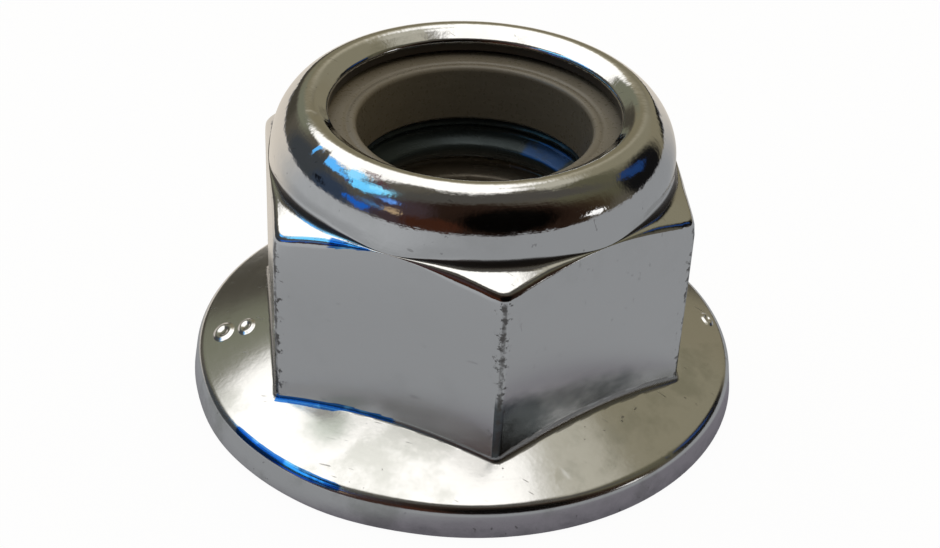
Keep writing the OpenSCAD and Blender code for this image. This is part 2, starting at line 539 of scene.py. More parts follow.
    def collar_blocks(self, foot: Block) -> list[tuple[Block, Zone]]:
        """Gives the collar's rolled outside and the lip, down to its underside.

        Args:
            foot: The end of the fillet at the collar's foot, for each column.

        Returns:
            The blocks, each with its zone.
        """
        crest, shoulder, turn = self.crest, self.shoulder, self.shoulder_turn
        over = 90.0 + self.lip_slope
        lip_radius = self.seat_wall - self.lip_reach
        lip_start = arc(crest, self.crest_radius, over, over, 1)
        edge_x = lip_radius + self.lip_edge_radius
        slope = math.radians(self.lip_slope)
        edge_z = (
            float(lip_start[1][0, 0])
            - (float(lip_start[0][0, 0]) - edge_x) * math.tan(slope)
            - self.lip_edge_radius / math.cos(slope)
        )
        lip_edge = arc((edge_x, edge_z), self.lip_edge_radius, over, 180.0, 12)
        seat = (self.seat_wall - self.seat_radius, self.seat_top - self.seat_radius)
        wall_share = np.linspace(0.0, 1.0, 14)[:, None]
        rolled = arc(shoulder, self.shoulder_radius, 0.0, turn, 22)
        flare = (foot[0] - self.collar_radius) * (1.0 - smooth_step(wall_share))
        rise = foot[1] + (rolled[1][6] - foot[1]) * wall_share
        own = np.sqrt(np.maximum(self.shoulder_radius**2 - np.maximum(rise - shoulder[1], 0.0) ** 2, 0.0))
        wall = (shoulder[0] + own + flare, rise)
        lip_top = (lip_start[0][0, 0], lip_start[1][0, 0])
        lip_foot = (lip_edge[0][0, 0], lip_edge[1][0, 0])
        seat_corner = (self.seat_wall, self.seat_floor)
        hole_edge = (self.thread.major_radius, self.seat_floor)
        return [
            (wall, Zone.COLLAR),
            ((rolled[0][7:], rolled[1][7:]), Zone.COLLAR),
            (arc(crest, self.crest_radius, turn, over, 22), Zone.COLLAR),
            (straight(lip_top, lip_foot, 6, 0.05), Zone.COLLAR),
            (lip_edge, Zone.COLLAR),
            (straight((lip_radius, edge_z), (lip_radius, self.seat_top), 5, 0.08), Zone.LIP),
            (arc(seat, self.seat_radius, 90.0, 0.0, 10), Zone.BEARING),
            (straight((self.seat_wall, seat[1]), seat_corner, 4), Zone.BEARING),
            (straight(seat_corner, hole_edge, 5, 0.02), Zone.BEARING),
        ]

    def outside(self) -> tuple[Array, Array, Array]:
        """Joins the blocks from the countersink's edge round the outside to the seat's floor.

        Returns:
            The radii, the heights and the zone values, with one row for each point of the
            half section and one column for each angle.
        """
        blocks = self.rim_blocks() + self.hexagon_blocks()
        foot = (blocks[-1][0][0][-1], blocks[-1][0][1][-1])
        blocks += self.collar_blocks(foot)
        columns = len(self.turn)
        radii, heights, zones = [], [], []
        for (radius, height), zone in blocks:
            rows = max(radius.shape[0], height.shape[0])
            radii.append(np.broadcast_to(radius, (rows, columns)))
            heights.append(np.broadcast_to(height, (rows, columns)))
            zones.append(self.zone_rows(zone, rows, columns))
        return np.concatenate(radii), np.concatenate(heights), np.concatenate(zones)

    def zone_rows(self, zone: Zone, rows: int, columns: int) -> Array:
        """Gives a block its zone, which runs from the chamfer's to the collar's in the crease.

        Args:
            zone: The block's zone.
            rows: The number of its rows.
            columns: The number of its columns.

        Returns:
            The zone's value at each point.
        """
        value = np.full(rows, zone.value)
        if zone is Zone.CREASE:
            value = np.linspace(Zone.CHAMFER.value, Zone.COLLAR.value, rows)
        return np.broadcast_to(value[:, None], (rows, columns))

    def reflected_shade(self, radius: Array, height: Array, zone: Array) -> Array:
        """Gives the painted shade low on one flat and on the rim's side, where they mirror the nut's shadow
        on the table.

        On the flat it lies below a line that falls away from the front corner, and it pales
        with the distance along the flat. On the rim it grows towards the bearing face.

        Args:
            radius: The radii of the surface's points.
            height: Their heights.
            zone: Their zones.

        Returns:
            The painted shade's share at each point.
        """
        side = radians(self.shaded_side)
        along = radius * np.sin(self.turn - side)
        on_side = np.cos(self.turn - side) > math.cos(math.radians(self.side_half_angle))
        line = self.shade_height - self.shade_fall * (along + 0.5 * self.apothem)
        below = smooth_step((line - height) / (0.9 * MM))
        short = smooth_step((self.shade_reach - along) / (2.0 * MM))
        near = smooth_step((-1.2 * MM - along) / (1.5 * MM))
        on_flat = on_side * (zone > Zone.BASE.value) * (zone < Zone.CHAMFER.value)
        share = below * short * (self.far_shade + (1.0 - self.far_shade) * near)
        on_rim = (zone == Zone.FLANGE.value) & (radius > self.rim_edge - 0.02 * MM)
        low = smooth_step((self.rim_height - height) / self.rim_height)
        rim_share = self.rim_shade - self.pale_share * self.pale_rim.share(self.turn)
        return share * on_flat + low * rim_share * on_rim

    def upright_edge(self, radius: Array, zone: Array) -> Array:
        """Gives 1 on the hexagon's upright edges, falling to 0 at edge_wear to each side.

        Args:
            radius: The radii of the surface's points.
            zone: Their zones.

        Returns:
            The share at each point.
        """
        aside = radius * np.abs(np.sin(self.from_corner))
        on_hexagon = (zone > Zone.BASE.value) & (zone < Zone.CHAMFER.value)
        return smooth_step(1.0 - aside / self.edge_wear) * on_hexagon

    def painted_blue_reflection(self, radius: Array, height: Array, zone: Array) -> Array:
        """Gives the blue painted on the outside, where the plating mirrors blue light.

        It lies on a stretch of the rim's upper edge, along the foot of one flat, and thinly
        on the chamfer above it.

        Args:
            radius: The radii of the surface's points.
            height: Their heights.
            zone: Their zones.

        Returns:
            The painted blue's share at each point.
        """
        from_edge = np.hypot(radius - self.rim_edge, height - self.rim_height)
        on_rim = smooth_step((self.rim_blue_reflection_reach - from_edge) / (0.07 * MM))
        on_rim = on_rim * self.rim_blue_reflection.share(self.turn)
        on_chamfer = (zone == Zone.CHAMFER.value) * self.chamfer_blue_reflection.share(self.turn)
        on_foot = self.foot_blue_reflection(radius, zone)
        return np.maximum(np.maximum(on_rim, on_foot), self.chamfer_blue_reflection_share * on_chamfer)

    def foot_blue_reflection(self, radius: Array, zone: Array) -> Array:
        """Gives the painted blue along the foot of the flat that faces -Y, wider at its left end.

        Args:
            radius: The radii of the surface's points.
            zone: Their zones.

        Returns:
            Its share at each point.
        """
        on_side = np.cos(self.turn + math.pi / 2.0) > math.cos(radians(self.side_half_angle))
        along = radius * np.cos(self.turn)
        beyond = np.abs(radius * np.sin(self.turn)) - self.apothem
        wider = smooth_step((-1.2 * MM - along) / (0.8 * MM))
        reach = self.foot_blue_reflection_reach + self.foot_blue_reflection_extra * wider
        foot = smooth_step((reach - beyond) / (0.06 * MM))
        foot = foot * (zone > Zone.BEARING.value) * (zone < Zone.FLAT.value)
        right_end = smooth_step((0.9 * MM - along) / (1.2 * MM))
        left_end = smooth_step((3.8 * MM + along) / (0.15 * MM))
        return foot * on_side * right_end * left_end

    def blue_reflection_in_thread(self, height: Array, turn: Array) -> Array:
        """Gives the painted blue on the thread's uppermost turn, between two heights.

        Args:
            height: The heights of the hole's points.
            turn: Their angles, in radians.

        Returns:
            Its share at each point.
        """
        low, high = self.thread_blue_reflection_heights
        held = smooth_step((height - low) / (0.15 * MM)) * smooth_step((high - height) / (0.15 * MM))
        return self.thread_blue_reflection_share * held * self.thread_blue_reflection.share(turn)

    def dark_reflection(self, radius: Array, zone: Array) -> Array:
        """Gives the dark reflection painted on the flange's cone: exp(-d^2 / (2 s^2)) about its middle.

        Args:
            radius: The radii of the surface's points.
            zone: Their zones.

        Returns:
            Its share at each point.
        """
        x, y = radius * np.cos(self.turn), radius * np.sin(self.turn)
        away = np.hypot(x - self.dark_reflection_middle[0], y - self.dark_reflection_middle[1])
        return np.exp(-0.5 * (away / self.dark_reflection_size) ** 2) * (zone == Zone.FLANGE.value)

    def threaded_hole(self) -> tuple[Array, Array, Array]:
        """Cuts the thread between the countersink and the lead below the ring.

        The rows follow the helix, so the height of row k at angle a is pitch * (k / rows
        + a / one turn), held between the two faces. The radius there is the largest of the
        thread's own, the countersink's cone and the lead's cone.

        Returns:
            The radii, the heights and the angles, with one more column than a full turn.
        """
        thread = self.thread
        turns = int(math.ceil(self.seat_floor / thread.pitch)) + 2
        row = np.arange(turns * thread.rows_per_pitch + 1)[:, None] / thread.rows_per_pitch - 1.0
        first = self.turn[0]
        around = np.concatenate([self.turn, [first + FULL_TURN]])
        helix = row + (around[None, :] - first) / FULL_TURN
        height = np.clip(helix * thread.pitch, 0.0, self.seat_floor)
        phase = np.mod(helix, 1.0)
        radius = thread.minor_radius + thread.depth_at(phase)
        radius = np.maximum(radius, self.countersink_radius - height)
        radius = np.maximum(radius, thread.major_radius - (self.seat_floor - height))
        radius = np.where(height <= 0.0, self.countersink_radius, radius)
        radius = np.where(height >= self.seat_floor, thread.major_radius, radius)
        return radius, height, np.broadcast_to(around, radius.shape)

    def build(self) -> bpy.types.Object:
        """Builds the body as one closed mesh.

        The rim's swell is added to the radius on the outer part of the flange.

        Returns:
            The object, with its zone, its marks and its painted shade and reflections as point attributes.
        """
        radius, height, zone = self.outside()
        outward = smooth_step((radius - self.swell_start) / self.swell_run)
        radius = radius + self.rim_swell * self.swollen_rim.share(self.turn) * outward
        marks = {
            "edge": self.upright_edge(radius, zone),
            "reflected_shade": self.reflected_shade(radius, height, zone),
            "dark_reflection": self.dark_reflection(radius, zone),
            "blue_reflection": self.painted_blue_reflection(radius, height, zone),
        }
        outer = turned_points(radius, height, self.turn)
        outer_quads = grid_quads(radius.shape[0], radius.shape[1])
        hole_radius, hole_height, around = self.threaded_hole()
        inner = turned_points(hole_radius, hole_height, around)
        inner_quads = grid_quads(hole_radius.shape[0], hole_radius.shape[1], len(outer), closed=False)
        plain = np.zeros(len(inner))
        values = {name: np.concatenate([value.ravel(), plain]) for name, value in marks.items()}
        values["zone"] = np.concatenate([zone.ravel(), plain + Zone.THREAD.value])
        values["blue_reflection"][len(outer) :] = self.blue_reflection_in_thread(hole_height, around).ravel()
        points = np.concatenate([outer, inner])
        quads = np.concatenate([outer_quads, inner_quads])
        return closed_mesh("nut_body_dressed", points, quads, values)


@dataclass
class NylonInsert:
    """The nylon ring that grips the bolt, held in its seat by the rolled lip."""

    low: Vector
    high: Vector
    bore_radius: float = 3.7 * MM
    mouth_radius: float = 0.15 * MM
    corner_radius: float = 0.68 * MM
    chamfer: float = 0.1 * MM
    groove_radius: float = 4.03 * MM
    groove_width: float = 0.07 * MM
    groove_depth: float = 0.03 * MM
    columns: int = 192

    def grooved_top(self, start: float, end: float, top: float) -> Block:
        """Gives the ring's flat top, with a shallow turned groove near its mouth.

        The groove is depth * exp(-((r - middle) / width)^2) deep.

        Args:
            start: The radius where the top starts.
            end: The radius where it ends.
            top: Its height.

        Returns:
            The radii and the heights, with one row for each step.
        """
        radius, height = straight((start, top), (end, top), 30, 0.01)
        away = (radius - self.groove_radius) / self.groove_width
        return radius, height - self.groove_depth * np.exp(-(away**2))

    def build(self) -> bpy.types.Object:
        """Builds the ring as one closed mesh of revolution.

        Returns:
            The object.
        """
        reach = 0.5 * (self.high.x - self.low.x)
        top, floor = self.high.z, self.low.z
        bore, lifted = self.bore_radius, floor + self.chamfer
        corner = (reach - self.corner_radius, top - self.corner_radius)
        mouth = (bore + self.mouth_radius, top - self.mouth_radius)
        blocks = [
            straight((bore + self.chamfer, floor), (reach - self.chamfer, floor), 8, 0.02),
            straight((reach - self.chamfer, floor), (reach, lifted), 4, 0.1),
            straight((reach, lifted), (reach, corner[1]), 8, 0.02),
            arc(corner, self.corner_radius, 0.0, 90.0, 16),
            self.grooved_top(corner[0], mouth[0], top),
            arc(mouth, self.mouth_radius, 90.0, 180.0, 12),
            straight((bore, mouth[1]), (bore, lifted), 14, 0.02),
            straight((bore, lifted), (bore + self.chamfer, floor), 4, 0.1),
        ]
        radius = np.concatenate([b[0] for b in blocks])
        height = np.concatenate([b[1] for b in blocks])
        turn = np.linspace(0.0, FULL_TURN, self.columns, endpoint=False)
        radius = np.broadcast_to(radius, (len(radius), self.columns))
        height = np.broadcast_to(height, radius.shape)
        points = turned_points(radius, height, turn)
        quads = grid_quads(radius.shape[0], self.columns)
        return closed_mesh("nylon_insert_dressed", points, quads, {})


@dataclass(frozen=True)
class RaisedMark:
    """A plain raised oval on the flange's cone, with a dished middle.

    It stands at an azimuth and a radius, and reaches half_out up and down the cone and
    half_along to each side.
    """

    name: str
    azimuth: float
    radius: float
    half_out: float
    half_along: float
    rise: float = 0.055 * MM
    sink: float = 0.05 * MM
    floor_share: float = 0.12
    ring_share: float = 0.6
    rows: int = 25
    columns: int = 40

    def build(self, body: NutBody) -> bpy.types.Object:
        """Builds the mark as a closed dish that stands a little into the cone.

        Over the share s from its middle to its outline, an S curve climbs from a small
        floor at floor_share to a ring at ring_share, and another falls to the outline.

        Args:
            body: The body whose cone it stands on.

        Returns:
            The object.
        """
        share = np.concatenate([np.linspace(0.0, 1.0, self.rows), np.linspace(1.0, 0.0, 3)])[:, None]
        turn = np.linspace(0.0, FULL_TURN, self.columns, endpoint=False)[None, :]
        climb = smooth_step((share - self.floor_share) / (self.ring_share - self.floor_share))
        fall = smooth_step((1.0 - share) / (1.0 - self.ring_share))
        above = self.rise * (0.1 + 0.9 * climb) * fall
        above[self.rows :] = -self.sink
        above[self.rows - 1] = -0.2 * self.sink
        out = self.half_out * share * np.cos(turn)
        along = self.half_along * share * np.sin(turn)
        t, slope = math.radians(self.azimuth), math.radians(body.flange_slope)
        level = np.array([math.cos(t), math.sin(t), 0.0])
        outward = math.cos(slope) * level - math.sin(slope) * np.array([0.0, 0.0, 1.0])
        around = np.array([-math.sin(t), math.cos(t), 0.0])
        normal = np.cross(outward, around)
        middle = self.radius * level + np.array([0.0, 0.0, body.cone_height(self.radius)])
        parts = (out, along, np.broadcast_to(above, out.shape))
        points = middle + sum(p[..., None] * d for p, d in zip(parts, (outward, around, normal)))
        zone = np.full(out.size, Zone.FLANGE.value)
        quads = grid_quads(len(share), self.columns)
        return closed_mesh(self.name, points.reshape(-1, 3), quads, {"zone": zone})


class NodeBoard:
    """The nodes of a material or a world, laid out and linked by short calls."""

    def __init__(self, owner: bpy.types.Material | bpy.types.World) -> None:
        """Empties the owner's nodes and gives them an output.

        Args:
            owner: The material or the world that the nodes belong to.
        """
        self.owner = owner
        self.owner.use_nodes = True
        self.tree = self.owner.node_tree
        self.tree.nodes.clear()
        kind = "World" if isinstance(owner, bpy.types.World) else "Material"
        self.output = self.tree.nodes.new("ShaderNodeOutput" + kind)

    def add(self, kind: str, inputs: dict | None = None, **settings: object) -> bpy.types.Node:
        """Adds a node.

        Args:
            kind: The node's type, without the leading ShaderNode.
            inputs: Values or sockets for its inputs, by name or number.
            settings: Its own settings.

        Returns:
            The node.
        """
        node = self.tree.nodes.new("ShaderNode" + kind)
        for key, value in settings.items():
            setattr(node, key, value)
        for key, value in (inputs or {}).items():
            if isinstance(value, Socket):
                self.tree.links.new(value, node.inputs[key])
            else:
                node.inputs[key].default_value = value
        return node

    def attribute(self, name: str) -> Socket:
        """Reads a point attribute."""
        return self.add("Attribute", attribute_name=name).outputs["Fac"]

    def sharp_rays(self) -> Socket:
        """Tells the camera's own rays and the mirrored and transmitted ones from the others.

        Returns:
            1 for these rays, and 0 for those that light a matt surface.
        """
        seen = self.add("LightPath").outputs
        rays = self.math("MAXIMUM", seen["Is Camera Ray"], seen["Is Glossy Ray"])
        return self.math("MAXIMUM", rays, seen["Is Transmission Ray"])

    def math(self, operation: str, *values: float | Socket, clamp: bool = False) -> Socket:
        """Adds a Math node and gives its result."""
        return self.add("Math", dict(enumerate(values)), operation=operation, use_clamp=clamp).outputs[0]

    def noise(self, place: Socket, scale: float, detail: float = 3.0, rough: float = 0.5) -> Socket:
        """Adds a cloudy noise around 0.5, with features of about 1 / scale metres."""
        inputs = {"Vector": place, "Scale": scale, "Detail": detail, "Roughness": rough}
        return self.add("TexNoise", inputs).outputs[0]

    def stretch(self, place: Socket, scale: tuple) -> Socket:
        """Scales a place along each axis."""
        return self.add("Mapping", {"Vector": place, "Scale": scale}, vector_type="POINT").outputs[0]

    def fade(self, value: Socket, low: float, high: float, start: float = 0.0, end: float = 1.0) -> Socket:
        """Turns low..high into start..end with an even S curve, and holds it outside."""
        inputs = {"Value": value, "From Min": low, "From Max": high, "To Min": start, "To Max": end}
        return self.add("MapRange", inputs, interpolation_type="SMOOTHSTEP").outputs["Result"]

    def by_zone(self, zone: Socket, values: dict[Zone, float]) -> Socket:
        """Gives each zone its value, with straight lines between them.

        Args:
            zone: The zone's value at each point.
            values: What each zone gives.

        Returns:
            The value.
        """
        curve = self.add("FloatCurve", {"Value": zone})
        points = curve.mapping.curves[0].points
        while len(points) < len(values):
            points.new(0.5, 0.5)
        for point, (part, value) in zip(points, sorted(values.items(), key=lambda pair: pair[0].value)):
            point.location = (part.value, value)
            point.handle_type = "VECTOR"
        curve.mapping.update()
        return curve.outputs[0]

    def tint(self, share: Socket, first: tuple | Socket, second: tuple | Socket) -> Socket:
        """Mixes two colours."""
        return self.add("MixRGB", {0: share, 1: first, 2: second}).outputs[0]

    def finish(self, shader: Socket) -> bpy.types.Material | bpy.types.World:
        """Links the shader to the output and gives the owner."""
        self.tree.links.new(shader, self.output.inputs["Surface"])
        return self.owner


@dataclass(frozen=True)
class PlatedSteel:
    """Bright zinc plating: glossy on the rolled collar, duller on the flats, worn and dented, with painted
    shade and painted reflections.
    """

    colour: tuple = (0.79, 0.785, 0.775, 1.0)
    tarnish: tuple = (0.50, 0.51, 0.47, 1.0)
    # Dark for the dirt in spots, and for the painted shade in the crease, under the lip and at the flats'
    # foot.
    grime_and_shade: tuple = (0.045, 0.035, 0.028, 1.0)
    worn: tuple = (0.13, 0.12, 0.11, 1.0)
    # The colour of the painted shade low on one flat and on the rim's side.
    shade_slate: tuple = (0.118, 0.137, 0.142, 1.0)
    # The tint of the dark reflection painted on the flange's cone.
    dark_reflection_tint: tuple = (0.42, 0.45, 0.41, 1.0)
    # Painted blue reflections, paler where they glint and darker in the hole.
    blue_reflection: tuple = (0.02, 0.17, 0.52, 1.0)
    blue_reflection_glint: tuple = (0.16, 0.52, 0.90, 1.0)
    blue_reflection_in_hole: tuple = (0.010, 0.055, 0.17, 1.0)
    # Painted light and shade in the hole: dim brown on the deep turns, dark teal on the upper ones.
    deep_thread_light: tuple = (0.24, 0.21, 0.165, 1.0)
    upper_thread_shade: tuple = (0.036, 0.050, 0.052, 1.0)
    undulation: float = 0.012 * MM
    grain: float = 0.0022 * MM
    dents: float = 0.02 * MM
    cloud_scale: float = 430.0
    mottle_scale: float = 1500.0
    speck_scale: float = 4200.0
    scratch_scales: tuple = (900.0, 7000.0, 2600.0)
    chip_scale: float = 5200.0
    blue_reflection_scale: float = 1700.0
    pale_scale: float = 620.0
    wave_scale: float = 1300.0
    grain_scale: float = 8000.0
    dent_scale: float = 760.0
    ring_scale: float = 9000.0

    def material(self) -> bpy.types.Material:
        """Makes the material.

        Returns:
            The material, whose roughness, dirt and tints follow the point attributes "zone" and
            "edge", and those that carry the painted shade and the painted reflections.
        """
        board = NodeBoard(bpy.data.materials.new("plated_steel_finish"))
        place = board.add("TexCoord").outputs["Object"]
        zone = board.attribute("zone")
        rings = self.rings(board, place)
        wear = self.wear(board, place)
        cloud = board.fade(board.noise(place, self.cloud_scale, 5.0, 0.6), 0.50, 0.68)
        # Dirt in spots, and painted shade in the crease, under the lip and at the flats' foot.
        dirt_and_shade = self.dirt_and_shade(board, place, zone)
        inside = board.fade(zone, 0.86, 0.97)
        colour = self.plated(board, place, zone, cloud, wear)
        colour = board.tint(dirt_and_shade, colour, self.grime_and_shade)
        # Painted shade and light in the hole.
        colour = board.tint(inside, colour, self.thread_shading(board, place))
        # Painted blue reflections.
        colour = board.tint(self.blue_reflection_share(board, place), colour, self.blue_reflection_colour(board, place, inside))
        shader = board.add(
            "BsdfPrincipled",
            {
                "Base Color": colour,
                "Metallic": board.math("SUBTRACT", 1.0, board.math("MULTIPLY", inside, 0.5)),
                "Roughness": self.roughness(board, zone, cloud, rings, dirt_and_shade),
                "Normal": self.relief(board, place, zone, rings, wear),
            },
        )
        return board.finish(shader.outputs[0])

    def plated(self, board: NodeBoard, place: Socket, zone: Socket, cloud: Socket, wear: Socket) -> Socket:
        """Gives the plating's colour: bright, clouded, with painted shade, with a painted dark reflection and
        worn, in turn.

        Args:
            board: The material's nodes.
            place: The place on the piece.
            zone: The zone's value.
            cloud: The clouds' share.
            wear: The share of the worn edges.

        Returns:
            The colour.
        """
        clouded = board.by_zone(zone, {
            Zone.BEARING: 0.5, Zone.FLANGE: 0.6, Zone.BASE: 0.5, Zone.FLAT: 0.08,
            Zone.CHAMFER: 0.1, Zone.CREASE: 0.1, Zone.COLLAR: 0.14, Zone.THREAD: 0.3,
        })
        colour = board.tint(board.math("MULTIPLY", cloud, clouded), self.colour, self.tarnish)
        # Painted shade low on one flat and on the rim, then a painted dark reflection on the flange's cone.
        colour = board.tint(self.patch(board, place, "reflected_shade"), colour, self.shade_slate)
        colour = board.tint(self.patch(board, place, "dark_reflection"), colour, self.dark_reflection_tint)
        return board.tint(board.math("MULTIPLY", wear, 0.9), colour, self.worn)

    def dirt_and_shade(self, board: NodeBoard, place: Socket, zone: Socket) -> Socket:
        """Gives the painted shade in the crease, under the lip and at the flats' foot, and the dirt in spots.

        Args:
            board: The material's nodes.
            place: The place on the piece.
            zone: The zone's value.

        Returns:
            The share of the painted shade and the dirt.
        """
        # Painted shade: darkest in the crease and on the lip's inner face, half as dark on the fillet at the
        # flats' foot.
        corner = board.math("ABSOLUTE", board.math("SUBTRACT", zone, Zone.CREASE.value))
        foot = board.math("ABSOLUTE", board.math("SUBTRACT", zone, Zone.BASE.value))
        crease_shade = board.math(
            "MAXIMUM", board.fade(corner, 0.025, 0.065, 0.93, 0.0), board.fade(foot, 0.0, 0.06, 0.5, 0.0)
        )
        speck = board.fade(board.noise(place, self.speck_scale, 2.0), 0.72, 0.77)
        scratch = board.noise(board.stretch(place, self.scratch_scales), 1.0, 2.0)
        spotted = board.by_zone(zone, {
            Zone.BEARING: 0.3, Zone.FLANGE: 0.5, Zone.BASE: 0.4, Zone.FLAT: 0.12,
            Zone.CHAMFER: 0.2, Zone.CREASE: 0.2, Zone.COLLAR: 0.3, Zone.THREAD: 0.3,
        })
        spots = board.math("MAXIMUM", speck, board.fade(scratch, 0.71, 0.75))
        return board.math("MAXIMUM", crease_shade, board.math("MULTIPLY", spots, spotted))

    def thread_shading(self, board: NodeBoard, place: Socket) -> Socket:
        """Gives the painted shade and light in the hole, which is darker above than deep down.

        Args:
            board: The material's nodes.
            place: The place on the piece.

        Returns:
            The colour.
        """
        height = board.add("SeparateXYZ", {0: place}).outputs[2]
        deep = board.fade(height, 5.6 * MM, 6.5 * MM, 1.0, 0.0)
        return board.tint(deep, self.upper_thread_shade, self.deep_thread_light)

    def rings(self, board: NodeBoard, place: Socket) -> Socket:
        """Gives fine streaks that run round the axis: noise of (x/r, y/r, z) and of r.

        Args:
            board: The material's nodes.
            place: The place on the piece.

        Returns:
            The noise, around 0.5.
        """
        parts = board.add("SeparateXYZ", {0: place}).outputs
        flat = board.add("CombineXYZ", {0: parts[0], 1: parts[1]}).outputs[0]
        reach = board.add("VectorMath", {0: flat}, operation="LENGTH").outputs["Value"]
        around = board.add("VectorMath", {0: flat}, operation="NORMALIZE").outputs["Vector"]
        turned = board.add("SeparateXYZ", {0: around}).outputs
        across = board.math("MULTIPLY", board.math("SUBTRACT", parts[2], reach), self.ring_scale)
        streak = board.add("CombineXYZ", {0: turned[0], 1: turned[1], 2: across}).outputs[0]
        return board.noise(streak, 1.6, 3.0, 0.6)

    def patch(self, board: NodeBoard, place: Socket, name: str) -> Socket:
        """Gives a mottled, painted dark patch with a ragged outline.

        Args:
            board: The material's nodes.
            place: The place on the piece.
            name: The point attribute that says where the patch lies.

        Returns:
            The patch's share.
        """
        mottle = board.noise(board.stretch(place, (1.0, 1.0, 1.6)), self.mottle_scale, 5.0, 0.65)
        mottle = board.math("MULTIPLY", mottle, 0.7)
        return board.fade(board.math("ADD", board.attribute(name), mottle), 0.46, 1.36, 0.0, 0.95)

    def blue_reflection_share(self, board: NodeBoard, place: Socket) -> Socket:
        """Gives the painted blue reflection's share, with a crisp ragged outline."""
        ragged = board.math("MULTIPLY", board.noise(place, self.blue_reflection_scale, 4.0, 0.6), 0.6)
        return board.fade(board.math("ADD", board.attribute("blue_reflection"), ragged), 0.68, 0.86, 0.0, 0.97)

    def blue_reflection_colour(self, board: NodeBoard, place: Socket, inside: Socket) -> Socket:
        """Gives the painted blue reflection's colour, with paler painted glints outside and a darker blue in
        the hole.
        """
        pale = board.fade(board.noise(place, self.pale_scale, 3.0, 0.6), 0.50, 0.58)
        return board.tint(inside, board.tint(pale, self.blue_reflection, self.blue_reflection_glint), self.blue_reflection_in_hole)

    def wear(self, board: NodeBoard, place: Socket) -> Socket:
        """Gives the dark specks and the thin dark line along the hexagon's upright edges.

        Args:
            board: The material's nodes.
            place: The place on the piece.

        Returns:
            The share of the worn places.
        """
        edge = board.attribute("edge")
        chips = board.noise(place, self.chip_scale, 4.0, 0.65)
        reached = board.math("ADD", chips, board.math("MULTIPLY", edge, 0.15))
        specks = board.math("MULTIPLY", board.fade(reached, 0.63, 0.73), board.fade(edge, 0.02, 0.4))
        line = board.math("MULTIPLY", board.fade(edge, 0.80, 0.99), board.fade(chips, 0.36, 0.52, 0.15, 0.8))
        return board.math("MAXIMUM", specks, line)

    def roughness(self, board: NodeBoard, zone: Socket, cloud: Socket, rings: Socket, dirt_and_shade: Socket) -> Socket:
        """Gives the roughness: the zone's own, more in clouds, streaks, dirt and painted shade.

        Args:
            board: The material's nodes.
            zone: The zone's value.
            cloud: The clouds' share.
            rings: The streaks round the axis.
            dirt_and_shade: The share of the dirt and the painted shade.

        Returns:
            The roughness.
        """
        own = board.by_zone(zone, {
            Zone.BEARING: 0.30, Zone.FLANGE: 0.14, Zone.BASE: 0.10, Zone.FLAT: 0.18,
            Zone.CHAMFER: 0.07, Zone.CREASE: 0.09, Zone.COLLAR: 0.055, Zone.THREAD: 0.26,
        })
        more = board.math("MULTIPLY", cloud, 0.05)
        more = board.math("ADD", more, board.fade(rings, 0.45, 0.75, 0.0, 0.03))
        more = board.math("ADD", more, board.math("MULTIPLY", dirt_and_shade, 0.3))
        return board.math("ADD", own, more, clamp=True)

    def relief(self, board: NodeBoard, place: Socket, zone: Socket, rings: Socket, wear: Socket) -> Socket:
        """Gives the normal: slow undulation, fine grain, streaks and a few dents.

        Args:
            board: The material's nodes.
            place: The place on the piece.
            zone: The zone's value.
            rings: The streaks round the axis.
            wear: The share of the worn edges.

        Returns:
            The normal.
        """
        waves = board.noise(place, self.wave_scale, 3.0, 0.6)
        grain = board.noise(place, self.grain_scale, 2.0)
        dent = board.fade(board.noise(place, self.dent_scale, 1.0), 0.70, 0.80)
        height = board.math("MULTIPLY", waves, self.undulation)
        height = board.math("ADD", height, board.math("MULTIPLY", grain, self.grain))
        height = board.math("ADD", height, board.math("MULTIPLY", rings, 0.5 * self.grain))
        height = board.math("SUBTRACT", height, board.math("MULTIPLY", dent, self.dents))
        height = board.math("SUBTRACT", height, board.math("MULTIPLY", wear, self.dents))
        strength = board.by_zone(zone, {
            Zone.BEARING: 0.5, Zone.FLANGE: 0.35, Zone.BASE: 0.4, Zone.FLAT: 0.10,
            Zone.CHAMFER: 0.7, Zone.CREASE: 0.7, Zone.COLLAR: 1.0, Zone.THREAD: 0.6,
        })
        return board.add("Bump", {"Height": height, "Strength": strength, "Distance": 1.0}).outputs[0]


@dataclass(frozen=True)
class DullNylon:
    """Warm grey nylon with a dull sheen and faint turning marks."""

    colour: tuple = (0.150, 0.135, 0.106, 1.0)
    dark: tuple = (0.140, 0.125, 0.096, 1.0)
    # Painted shade for the lower part of the ring's hole.
    deep: tuple = (0.118, 0.100, 0.070, 1.0)
    roughness: float = 0.31
    specular: float = 0.45
    bump: float = 0.0012 * MM
    turned_scale: float = 900.0
    grain_scale: float = 7000.0

    def material(self) -> bpy.types.Material:
        """Makes the material.

        Returns:
            The material, with painted shade that makes it darker deep in the ring's hole.
        """
        board = NodeBoard(bpy.data.materials.new("nylon_finish"))
        place = board.add("TexCoord").outputs["Object"]
        turned = board.noise(board.stretch(place, (1.0, 1.0, 8.0)), self.turned_scale, 3.0)
        grain = board.noise(place, self.grain_scale, 3.0)
        colour = board.tint(board.fade(turned, 0.35, 0.65), self.colour, self.dark)
        height = board.add("SeparateXYZ", {0: place}).outputs[2]
        # Painted shade, darker towards the bottom of the ring's hole.
        colour = board.tint(board.fade(height, 7.3 * MM, 8.9 * MM, 0.35, 0.0), colour, self.deep)
        rough = board.fade(grain, 0.3, 0.7, self.roughness - 0.05, self.roughness + 0.07)
        height = board.math("MULTIPLY", grain, self.bump)
        normal = board.add("Bump", {"Height": height, "Distance": 1.0}).outputs[0]
        shader = board.add(
            "BsdfPrincipled",
            {"Base Color": colour, "Roughness": rough, "Normal": normal, "Specular IOR Level": self.specular},
        )
        return board.finish(shader.outputs[0])


